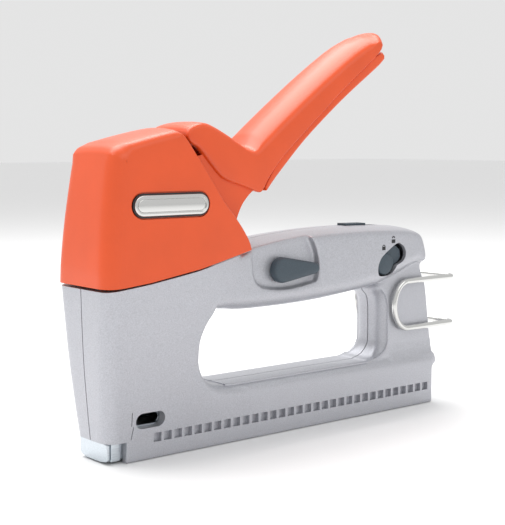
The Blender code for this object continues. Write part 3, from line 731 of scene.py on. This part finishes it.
def tower(bm, side):
    """The spring tower that stands up inside the cover; the pivot ears beside it come from ears."""
    block(bm, (-19.2, -17.9), span(side, sizes().seam, 10.9), (60.0, 103.0))
    block(bm, (-19.2, 4.0), span(side, 8.4, 10.9), (60.0, 103.0))


def ears(bm, side):
    ear = [(2.0, 60.0), (24.0, 65.0), (25.5, 98.0), (23.5, 103.0), (15.0, 103.5), (2.0, 98.0)]
    prism(bm, ear, side * 6.2, side * 8.8)


class STAPLEGUN_OT_casting(bpy.types.Operator):
    """Makes both halves of the die-cast body"""

    bl_idname = "staple_gun.casting"
    bl_label = "Casting"

    def execute(self, context):
        paint = finish_of("silver_powder_paint")
        grip = finish_mesh("grip_form", shape(grip_solid), paint)
        carve(grip, [selector_pocket])
        bm = bmesh.new()
        bm.from_mesh(grip.data)
        bpy.data.objects.remove(grip)
        for build in (head_solid, column_solid, magazine_solid):
            build(bm)
        body = finish_mesh("casting_form", bm, paint)
        fuse(body, sizes().skin_voxel, sizes().skin_rounds)
        for side, name in ((NEAR, "left"), (FAR, "right")):
            half = body.copy()
            half.data = body.data.copy()
            half.name = f"casting_{name}"
            half.data.materials.clear()
            half.data.materials.append(paint)
            bpy.context.scene.collection.objects.link(half)
            carve(half, [ledge_plate], "UNION")
            carve(half, casting_cutters(side))
            carve(half, [lambda bm: tower(bm, side), lambda bm: ears(bm, side)], "UNION")
            carve(half, [lambda bm: prism(bm, arc(LEVER_PIVOT, 2.8, 0, 345, 23), -15.0, 15.0)])
            stand_for(half, "frame", "alloy", f"body_shell_{name}")
        bpy.data.objects.remove(body)
        return {"FINISHED"}


# The cover


def cover_half(x, z):
    share = (z - 64.0) / 50.0
    width = sizes().cover_low + (sizes().cover_high - sizes().cover_low) * share
    return width - 1.5 * smoothstep(x, 14.0, 46.0)


def cover_rim():
    front = [(-26.9, 40.0), (-26.6, 63.5), (-26.3, 72.5), (-24.9, 87.0), (-22.9, 101.0),
             (-21.9, 107.0)]
    brow = [(-21.2, 109.6), (-19.6, 111.6), (-17.0, 112.8)]
    top = [(-14.7, 113.4), (-6.4, 115.4), (1.0, 117.0), (6.0, 117.9)]
    rear = [(7.6, 117.2), (9.9, 114.9), (15.4, 107.3), (21.2, 99.3), (25.8, 92.7), (31.4, 86.4),
            (35.6, 81.0), (38.4, 76.0), (39.4, 70.0), (39.8, 60.0)]
    return (run(front, 6.0) + run(brow, 4.8, 0.7, 3) + run(top, 2.6, 1.0) + run(rear, 0.7)
            + [(39.0, 40.0, 0.7, 0.0)])


def cover_foot(bm):
    """All that is below the cover's lower edge."""
    line = [(-60.0, 64.2), (-24.0, 63.7), (-19.2, 64.0), (-8.3, 65.1), (13.6, 68.5), (34.0, 72.9),
            (60.0, 78.6)]
    prism(bm, line + [(60.0, 20.0), (-60.0, 20.0)], -60.0, 60.0)


def cover_room(bm):
    wall = sizes().cover_wall
    outline = curve_through([(-23.6, 50.0), (-23.6, 72.5), (-22.3, 87.0), (-20.4, 101.0),
                             (-19.6, 106.0), (-17.6, 109.6), (-14.0, 111.4), (-6.0, 113.2),
                             (8.0, 116.4)], 4)
    outline += [(20.0, 125.0), (60.0, 125.0), (60.0, 50.0)]
    rim = [(x, z, 3.7, 0.0) for x, z in outline]
    pillow(bm, rim, lambda x, z: cover_half(x, z) - wall, steps=6, grid=6.0)


class STAPLEGUN_OT_cover(bpy.types.Operator):
    """Makes the hollow head cover with the badges' recesses"""

    bl_idname = "staple_gun.cover"
    bl_label = "Head cover"

    def execute(self, context):
        orange = finish_of("orange_abs")
        bm = shape(pillow, cover_rim(), cover_half, crown=1.6, shape=2.2, steps=8, across=14,
                   grid=6.0)
        cover = finish_mesh("cover_moulding", bm, orange)
        recess = stadium(BADGE_CENTRE, 17.1, 4.8)
        cutters = [cover_foot, cover_room]
        cutters += [lambda bm, s=s: prism(bm, recess, s * 15.9, s * 30.0) for s in (NEAR, FAR)]
        for x, z in COVER_SCREWS:
            cutters.append(lambda bm, x=x, z=z: prism(bm, arc((x, z), 3.1, 0, 348, 29), 15.2, 30.0))
        carve(cover, cutters)
        stand_for(cover, "frame", "orange", "head_cover")
        return {"FINISHED"}


# The lever


def lever_rim():
    back = [(12.5, 117.6, 0.9), (13.5, 119.0, 1.1), (15.4, 120.1, 1.4), (19.4, 121.0, 2.0),
            (23.5, 120.3, 2.2), (30.0, 117.3, 2.0), (36.0, 114.0, 1.8), (41.0, 111.2, 1.6)]
    valley = [(42.6, 110.4), (44.2, 110.2), (45.8, 111.0)]
    slope = [(48.0, 112.7), (58.0, 120.6), (68.0, 128.2), (80.0, 137.0), (92.0, 145.2),
             (100.0, 150.2), (105.0, 152.8)]
    tip = [(107.8, 154.2), (109.6, 154.9), (110.9, 154.8), (111.5, 153.8)]
    lip = [(107.4, 148.9), (99.7, 142.9), (88.6, 134.5), (77.8, 125.6), (67.2, 116.9),
           (56.9, 108.0), (50.0, 100.0)]
    heel = [(48.4, 97.2, 0.7), (46.8, 95.4, 0.7), (44.6, 95.6, 0.7), (38.1, 97.8, 0.8),
            (31.0, 99.9, 1.1), (27.4, 101.6, 1.4), (23.1, 105.6, 1.8), (17.4, 111.8, 1.5),
            (14.2, 113.6, 1.1), (12.6, 115.2, 0.9), (12.2, 116.4, 0.9)]
    return (run(back, crown=0.2) + run(valley, 1.6, 0.6, 2) + run(slope, 1.6, 1.0)
            + run(tip, 0.45, 0.8) + [(111.0, 152.4, 0.6, 0.0), (110.0, 151.2, 0.6, 0.0)]
            + run(lip, 0.5) + run(heel))


def bow_tip(bm):
    """The lever's end is rounded in plan: its middle reaches further out than its sides."""
    for corner in bm.verts:
        x, y = corner.co.x / MM - WINDOW_X, corner.co.y / MM
        reach = smoothstep(x, 97.0, 111.0) * max(0.0, 1 - (y / sizes().lever_half) ** 2)
        corner.co += Vector((4.4, 0.0, 1.6)) * MM * reach


def lever_room(bm):
    outline = [(14.0, 112.0), (19.0, 115.2), (29.0, 112.2), (43.6, 106.4), (47.6, 109.0),
               (68.0, 125.0), (92.0, 142.2), (106.0, 150.6), (108.6, 150.0), (122.0, 140.0),
               (60.0, 85.0), (10.0, 85.0), (2.0, 100.0)]
    half = sizes().lever_half - 2.2
    prism(bm, outline, -half, half)


def lever_cheeks(bm):
    """The walls that close the gap between the cover's rear edge and the lever."""
    near_foot = [(30.4, 83.4), (34.0, 82.2)]
    near_foot += curve_through([(35.2, 84.6), (36.6, 88.0), (38.6, 91.4), (41.4, 94.4)], 4)
    far_foot = [(29.5, 88.4), (36.0, 92.0), (41.4, 94.4)]
    for side, foot in ((NEAR, near_foot), (FAR, far_foot)):
        outline = [(20.0, 110.0), (14.0, 108.0), (17.0, 95.0), (23.0, 88.6)] + foot
        outline += [(44.6, 96.8), (44.0, 99.0), (30.0, 104.0)]
        prism(bm, outline, side * 9.7, side * 11.0)


def strip_rim():
    foot = [(50.6, 95.7), (53.6, 99.1), (58.7, 104.3), (69.0, 114.2), (79.6, 123.0), (90.5, 131.4),
            (101.7, 139.4), (109.6, 145.2), (112.0, 147.2)]
    top = [(107.2, 148.5), (99.9, 142.6), (88.8, 134.2), (78.0, 125.3), (67.4, 116.6),
           (57.1, 107.7), (51.0, 99.7)]
    return (run(foot, 1.0) + [(113.0, 148.3, 0.8, 0.0), (112.9, 149.6, 0.6, 0.0),
                              (111.6, 150.8, 0.5, 0.0)]
            + run(top, 0.4) + [(49.6, 97.4, 0.5, 0.0), (49.9, 95.9, 0.5, 0.0)])


def web_rim():
    outline = [(27.0, 89.5), (27.0, 103.5), (46.0, 103.5), (48.4, 98.4)]
    rear = [(48.0, 96.6), (45.2, 93.9), (42.7, 90.6), (41.0, 87.4), (39.6, 85.0)]
    outline += curve_through(rear, 4)
    outline += [(36.5, 82.5), (31.0, 84.0)]
    return [(x, z, 0.6, 0.0) for x, z in outline]


def web_slot(bm):
    outline = [(20.0, 90.5), (24.2, 90.6), (32.2, 95.1), (45.2, 100.6), (62.0, 114.0),
               (60.0, 125.0), (20.0, 125.0)]
    prism(bm, outline, -3.5, 3.5)


class STAPLEGUN_OT_lever(bpy.types.Operator):
    """Makes the squeeze lever: its shell, the strip below it and its web"""

    bl_idname = "staple_gun.lever"
    bl_label = "Squeeze lever"

    def execute(self, context):
        orange = finish_of("orange_abs")
        half = sizes().lever_half
        bm = shape(pillow, lever_rim(), lambda x, z: half, crown=sizes().lever_crown, shape=2.6,
                   steps=6, across=18)
        bow_tip(bm)
        shell = finish_mesh("lever_moulding", bm, orange)
        carve(shell, [lever_room])
        carve(shell, [lever_cheeks], "UNION")
        stand_for(shell, "lever", "orange", "lever_cover")
        bm = shape(pillow, strip_rim(), lambda x, z: 11.2, steps=5)
        bow_tip(bm)
        strip = finish_mesh("lever_strip_moulding", bm, orange)
        stand_for(strip, "lever", "orange", "lever_strip")
        web = finish_mesh("lever_web_moulding",
                          shape(pillow, web_rim(), lambda x, z: 4.8, steps=4), orange)
        carve(web, [web_slot])
        stand_for(web, "lever", "orange", "lever_web")
        return {"FINISHED"}


# Badges, controls, hook, nose and screws


def bevelled_prism(name, outline, y_low, y_high, width, material, segments=3):
    bm = shape(prism, outline, y_low, y_high)
    soften(bm, width, segments)
    return finish_mesh(name, bm, material)


class STAPLEGUN_OT_badges(bpy.types.Operator):
    """Makes the blank oval badges: a chrome rim, a dark groove and a plain raised field"""

    bl_idname = "staple_gun.badges"
    bl_label = "Badges"

    def execute(self, context):
        chrome, enamel = finish_of("chrome_plate"), finish_of("black_enamel")
        for side, name in ((NEAR, "left"), (FAR, "right")):
            plate = bevelled_prism(f"badge_ground_{name}", stadium(BADGE_CENTRE, 16.6, 4.3),
                                   side * 16.0, side * 16.9, 0.15, enamel)
            stand_for(plate, "frame", "chrome", f"badge_{name}")
            rim = bevelled_prism(f"badge_rim_{name}", stadium(BADGE_CENTRE, 16.0, 3.7),
                                 side * 16.3, side * 17.45, 0.35, chrome)
            carve(rim, [lambda bm: prism(bm, stadium(BADGE_CENTRE, 15.1, 2.8), side * 17.0,
                                         side * 30.0)])
            stand_for(rim, "frame", "chrome")
            field = bevelled_prism(f"badge_field_{name}", stadium(BADGE_CENTRE, 14.6, 2.3),
                                   side * 16.6, side * 17.35, 0.3, chrome)
            stand_for(field, "frame", "chrome")
        return {"FINISHED"}


def knob_outline():
    tip = (KNOB_PIVOT[0] + 16.4, KNOB_PIVOT[1] - 0.3)
    return arc(KNOB_PIVOT, 5.0, 78, 282, 20) + arc(tip, 2.2, -78, 78, 10)


class STAPLEGUN_OT_controls(bpy.types.Operator):
    """Makes the power knob and the lock button, and the marks beside them"""

    bl_idname = "staple_gun.controls"
    bl_label = "Controls"

    def execute(self, context):
        nylon, enamel = finish_of("blue_grey_nylon"), finish_of("black_enamel")
        bm = shape(prism, knob_outline(), -16.1, -11.7)
        soften(bm, 1.5, 5, 60)
        knob = finish_mesh("selector_knob", bm, nylon)
        stand_for(knob, "selector", "dark", "power_knob")
        lobe_end = (LOCK_LOW[0] + 0.5, LOCK_LOW[1] + 0.3)
        lobe = shape(prism, capsule(LOCK_LOW, lobe_end, 4.5), -13.3, -10.0)
        soften(lobe, 0.9, 4, 60)
        button = finish_mesh("lock_thumb_button", lobe, nylon)
        plate = [(109.0, 59.2), (117.2, 59.2), (119.4, 62.6), (122.6, 64.2), (123.8, 66.2),
                 (123.2, 69.0), (120.8, 70.8), (118.2, 70.6), (112.4, 67.4), (109.0, 63.4)]
        carve(button, [lambda bm: prism(bm, plate, -11.7, -9.4)], "UNION")
        stand_for(button, "lock", "dark", "lock_button")
        self.marks(enamel)
        return {"FINISHED"}

    def marks(self, enamel):
        """A sun for full power, a bar for low power, and two padlocks."""
        floor, thick, edge = -11.45, 0.3, 0.03
        sun, inner, outer = (46.2, 72.0), 1.0, 1.9
        for i in range(8):
            turn = math.radians(45 * i)
            start = (sun[0] + inner * math.cos(turn), sun[1] + inner * math.sin(turn))
            end = (sun[0] + outer * math.cos(turn), sun[1] + outer * math.sin(turn))
            ray = bevelled_prism(f"mark_ray_{i + 1}", capsule(start, end, 0.17, 4), floor,
                                 floor + thick, edge, enamel, 1)
            stand_for(ray, "frame", "dark")
        bar = bevelled_prism("mark_bar", capsule((64.6, 72.8), (67.4, 72.7), 0.2, 4), floor,
                             floor + thick, edge, enamel, 1)
        stand_for(bar, "frame", "dark")
        face = -sizes().grip_half
        for name, (x, z), lift in (("closed", (111.4, 70.6), 0.0), ("open", (117.2, 73.3), 0.6)):
            case = bevelled_prism(f"mark_lock_{name}",
                                  [(x - 1.0, z - 1.1), (x + 1.0, z - 1.1), (x + 1.0, z + 0.4),
                                   (x - 1.0, z + 0.4)], face - 0.04, face + 0.4, edge, enamel, 1)
            stand_for(case, "frame", "dark")
            bow = [(px, face + 0.02, pz + lift) for px, pz in arc((x, z + 0.4), 0.65, 0, 180, 10)]
            bow = tube(f"mark_bow_{name}", bow, 0.17, enamel)
            stand_for(bow, "frame", "dark")


class STAPLEGUN_OT_hook(bpy.types.Operator):
    """Makes the hanging hook of spring wire around the rear column"""

    bl_idname = "staple_gun.hook"
    bl_label = "Hanging hook"

    def execute(self, context):
        radius = sizes().wire_radius
        side = radius + sizes().column_half + 0.5
        middle, reach, tall, end, bend = (129.4, 44.8), 8.2, 10.2, 158.3, 2.2
        near = [(x, -side, z) for x, z in ellipse(middle, -reach, tall, 90, -90, 28)]
        low, high = middle[1] - tall, middle[1] + tall
        corner = [(end - bend + bend * math.sin(math.radians(a)),
                   -side + bend - bend * math.cos(math.radians(a))) for a in range(0, 91, 15)]
        near += [(x, y, low) for x, y in corner]
        far = [(x, -y, z) for x, y, z in near[::-1]]
        back = [(x, -y, high) for x, y in corner]
        front = [(x, y, high) for x, y in corner[::-1]]
        wire = tube("hanging_wire", near + far + back + front, radius, finish_of("chrome_plate"),
                    cyclic=True, sides=6)
        stand_for(wire, "frame", "chrome", "wire_bail")
        return {"FINISHED"}


class STAPLEGUN_OT_nose(bpy.types.Operator):
    """Makes the steel nose plate and the magazine's channel"""

    bl_idname = "staple_gun.nose"
    bl_label = "Nose and channel"

    def execute(self, context):
        zinc = finish_of("zinc_plated_steel")
        plate = [(-7.4, 34.0), (-7.4, 7.5), (-9.2, 7.5), (-9.2, 1.9), (-8.2, 1.0), (-4.6, 0.4),
                 (4.6, 0.4), (8.2, 1.0), (9.2, 1.9), (9.2, 7.5), (7.4, 7.5), (7.4, 34.0)]
        bm = shape(prism_x, plate, -22.0, -20.7)
        soften(bm, 0.35, 3)
        stand_for(finish_mesh("nose_steel", bm, zinc), "frame", "nose_steel", "nose_plate")
        bm = shape(block, (-20.2, -16.3), (-9.1, 9.1), (0.9, 7.5))
        block(bm, (-20.7, -20.2), (-8.3, 8.3), (1.2, 7.5))
        soften(bm, 0.8, 4)
        guide = finish_mesh("nose_guide_steel", bm, zinc)
        carve(guide, [lambda bm: block(bm, (-19.6, -10.0), (-7.1, 7.1), (-1.0, 9.0))])
        stand_for(guide, "frame", "nose_steel")
        bm = shape(block, (-17.5, 140.0), (-8.1, 8.1), (0.9, 17.5))
        soften(bm, 0.6, 4)
        channel = finish_mesh("channel_steel", bm, zinc)
        carve(channel, [lambda bm: block(bm, (-30.0, 160.0), (-7.1, 7.1), (-1.0, 16.5)),
                        lambda bm: prism(bm, stadium((-4.4, 14.3), 5.6, 2.0), -20.0, 20.0)])
        stand_for(channel, "frame", "nose_steel", "magazine_channel")
        return {"FINISHED"}


def screw(name, x, z, tip, top, material):
    """A pan-head screw with a cross recess and a plain shank."""
    bm = shape(prism, arc((x, z), 1.5, 0, 345, 23), tip, top - 1.6)
    shank = finish_mesh(name, bm, material)

    def head(bm):
        prism(bm, arc((x, z), 2.8, 0, 350, 35), top - 2.0, top)
        soften(bm, 0.7, 4, 60)

    def cross(bm, wide, tall):
        block(bm, (x - wide, x + wide), (top - 1.0, top + 1.0), (z - tall, z + tall))

    carve(shank, [head], "UNION")
    return carve(shank, [lambda bm: cross(bm, 1.6, 0.35), lambda bm: cross(bm, 0.35, 1.6)])


class STAPLEGUN_OT_screws(bpy.types.Operator):
    """Makes the body screws and the cover screws"""

    bl_idname = "staple_gun.screws"
    bl_label = "Screws"

    def execute(self, context):
        zinc = finish_of("zinc_plated_steel")
        for i, (x, z, top) in enumerate(BODY_SCREWS):
            made = screw(f"body_fastener_{i + 1}", x, z, -7.2, top, zinc)
            stand_for(made, "frame", "screw", f"body_screw_{i + 1}")
        for i, (x, z) in enumerate(COVER_SCREWS):
            made = screw(f"cover_fastener_{i + 1}", x, z, 9.0, 16.5, zinc)
            stand_for(made, "frame", "screw", f"cover_screw_{i + 1}")
        return {"FINISHED"}


class STAPLEGUN_OT_springs(bpy.types.Operator):
    """Makes the power spring and the pusher's spring as smooth coils"""

    bl_idname = "staple_gun.springs"
    bl_label = "Springs"

    def execute(self, context):
        steel = finish_of("spring_steel")
        turns, per_turn, radius, middle_x, foot, length = 4.5, 40, 4.5, -9.0, 51.35, 25.2
        path = []
        for i in range(int(turns * per_turn) + 1):
            angle = 2 * math.pi * i / per_turn
            path.append((middle_x + radius * math.cos(angle), radius * math.sin(angle),
                         foot + length * i / (turns * per_turn)))
        stand_for(tube("power_coil", path, 0.85, steel), "frame", "steel", "main_spring")
        turns, per_turn, radius, middle_z, front, length = 34, 24, 2.2, 6.3, -15.0 + 0.3, 55.0
        path = []
        for i in range(turns * per_turn + 1):
            angle = 2 * math.pi * i / per_turn
            path.append((front + length * i / (turns * per_turn), radius * math.cos(angle),
                         middle_z + radius * math.sin(angle)))
        stand_for(tube("pusher_coil", path, 0.3, steel, sides=2), "rail", "steel", "pusher_spring")
        return {"FINISHED"}


class STAPLEGUN_OT_inner_finishes(bpy.types.Operator):
    """Gives the carried-over inner pieces their finishes"""

    bl_idname = "staple_gun.inner_finishes"
    bl_label = "Inner finishes"

    def execute(self, context):
        by_finish = {
            "zinc_plated_steel": ["lever_core", "striker_carrier", "spring_seat", "power_rocker",
                                  "magazine_rail", "rail_end_cap", "staple_pusher", "power_shaft"],
            "spring_steel": ["driver_blade", "blade_pin", "lever_pivot_pin", "lever_spring",
                             "seat_pin_front", "seat_pin_rear", "rocker_pin", "rail_clip",
                             "staple_strip"],
            "blue_grey_nylon": ["lock_catch", "lock_link"],
            "buffer_rubber": ["recoil_bumper"],
        }
        for finish, names in by_finish.items():
            for name in names:
                node = frame["nodes"][name]
                node.data.materials.clear()
                node.data.materials.append(finish_of(finish))
        return {"FINISHED"}


# The stage


def area_light(name, place, aim, size, power, colour=(1.0, 1.0, 1.0)):
    light = bpy.data.lights.new(name, "AREA")
    light.shape = "RECTANGLE"
    light.size, light.size_y = size
    light.energy = power
    light.color = colour
    obj = bpy.data.objects.new(name, light)
    bpy.context.scene.collection.objects.link(obj)
    obj.location = place
    obj.rotation_euler = (Vector(aim) - Vector(place)).to_track_quat("-Z", "Y").to_euler()


class STAPLEGUN_OT_stage(bpy.types.Operator):
    """Sets the camera, the pale floor and the soft studio light"""

    bl_idname = "staple_gun.stage"
    bl_label = "Stage"

    def execute(self, context):
        scene = context.scene
        bm = bmesh.new()
        bmesh.ops.create_grid(bm, x_segments=1, y_segments=1, size=6.0)
        bmesh.ops.translate(bm, verts=bm.verts, vec=(0, 0, -0.0002))
        finish_mesh("studio_floor", bm, finish_of("studio_paper"))
        camera = bpy.data.cameras.new("camera")
        camera.lens = 80.49
        camera.clip_start = 0.01
        holder = bpy.data.objects.new("camera", camera)
        scene.collection.objects.link(holder)
        azimuth, pitch = math.radians(-39.34), math.radians(5.78)
        holder.location = metres(-240.0, -356.5, 113.7)
        holder.rotation_euler = (math.pi / 2 - pitch, 0.0, azimuth)
        scene.camera = holder
        scene.view_settings.view_transform = "Standard"
        world = scene.world or bpy.data.worlds.new("studio")
        scene.world = world
        world.use_nodes = True
        backdrop = world.node_tree.nodes["Background"]
        backdrop.inputs["Color"].default_value = (1.0, 1.0, 1.0, 1.0)
        backdrop.inputs["Strength"].default_value = 0.78
        area_light("overhead_softbox", (-0.05, 0.3, 0.8), (0.0, 0.0, 0.1), (1.0, 0.6), 8.0)
        area_light("side_softbox", (0.1, -0.8, 0.75), (0.0, 0.0, 0.07), (0.8, 0.5), 1.2)
        return {"FINISHED"}


class STAPLEGUN_PT_panel(bpy.types.Panel):
    """Lists the staple gun's sizes, colours and pieces"""

    bl_idname = "STAPLEGUN_PT_panel"
    bl_label = "Staple Gun"
    bl_space_type = "VIEW_3D"
    bl_region_type = "UI"
    bl_category = "Staple Gun"

    def draw(self, context):
        for group in (context.scene.staple_gun_sizes, context.scene.staple_gun_colours):
            column = self.layout.column()
            for key in group.__annotations__:
                column.prop(group, key)
        for operator in OPERATORS:
            self.layout.operator(operator.bl_idname)


OPERATORS = (
    STAPLEGUN_OT_stage, STAPLEGUN_OT_casting, STAPLEGUN_OT_cover, STAPLEGUN_OT_lever,
    STAPLEGUN_OT_badges, STAPLEGUN_OT_controls, STAPLEGUN_OT_hook, STAPLEGUN_OT_nose,
    STAPLEGUN_OT_screws, STAPLEGUN_OT_springs, STAPLEGUN_OT_inner_finishes,
)
CLASSES = (StapleGunSizes, StapleGunColours, STAPLEGUN_PT_panel) + OPERATORS


def register():
    for item in CLASSES:
        bpy.utils.register_class(item)
    bpy.types.Scene.staple_gun_sizes = PointerProperty(type=StapleGunSizes)
    bpy.types.Scene.staple_gun_colours = PointerProperty(type=StapleGunColours)


def unregister():
    del bpy.types.Scene.staple_gun_sizes
    del bpy.types.Scene.staple_gun_colours
    for item in reversed(CLASSES):
        bpy.utils.unregister_class(item)


def clear_startup():
    """Removes what a new file holds, and keeps the frame."""
    kept = set(frame["nodes"].values()) | set(frame["bodies"].values())
    for obj in list(bpy.data.objects):
        if obj not in kept:
            bpy.data.objects.remove(obj)


def main():
    clear_startup()
    register()
    for name in ("stage", "casting", "cover", "lever", "badges", "controls", "hook", "nose",
                 "screws", "springs", "inner_finishes"):
        getattr(bpy.ops.staple_gun, name)()


if __name__ == "__main__":
    main()
